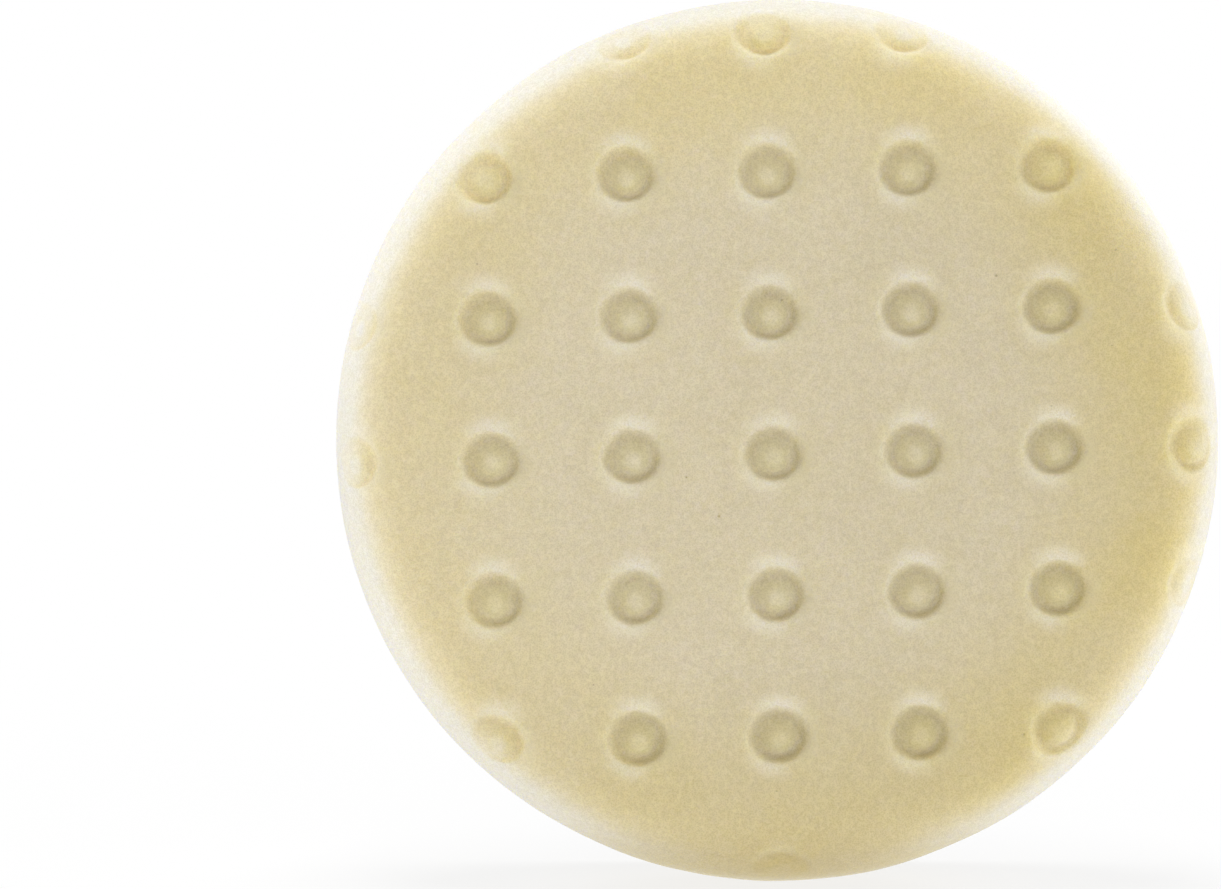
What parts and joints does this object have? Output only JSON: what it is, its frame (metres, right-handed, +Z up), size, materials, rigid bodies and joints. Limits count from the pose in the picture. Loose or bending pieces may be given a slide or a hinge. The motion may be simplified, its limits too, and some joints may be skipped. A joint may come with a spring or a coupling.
{
  "type": "polishing pad",
  "caption": "Round foam polishing pad with a square grid of pressed pockets on its flat working face, a rounded shoulder, and hook-and-loop loop cloth laminated to its back.",
  "frame": {"origin": "centre of the loop back, on the plane of the loops' tips", "axes": "+Y along the spin axis, out of the loop back towards the polisher; -Y out of the foam working face; +Z up, with the pad standing on its edge"},
  "size_m": [0.165, 0.0318, 0.165],
  "materials": {
    "foam": "matte",
    "film": "satin",
    "ground_cloth": "matte",
    "loops": "satin"
  },
  "bodies": {
    "root": {"foam_disc": "foam", "bond_film": "film", "loop_ground": "ground_cloth", "loop_pile": "loops"}
  },
  "joints": []
}
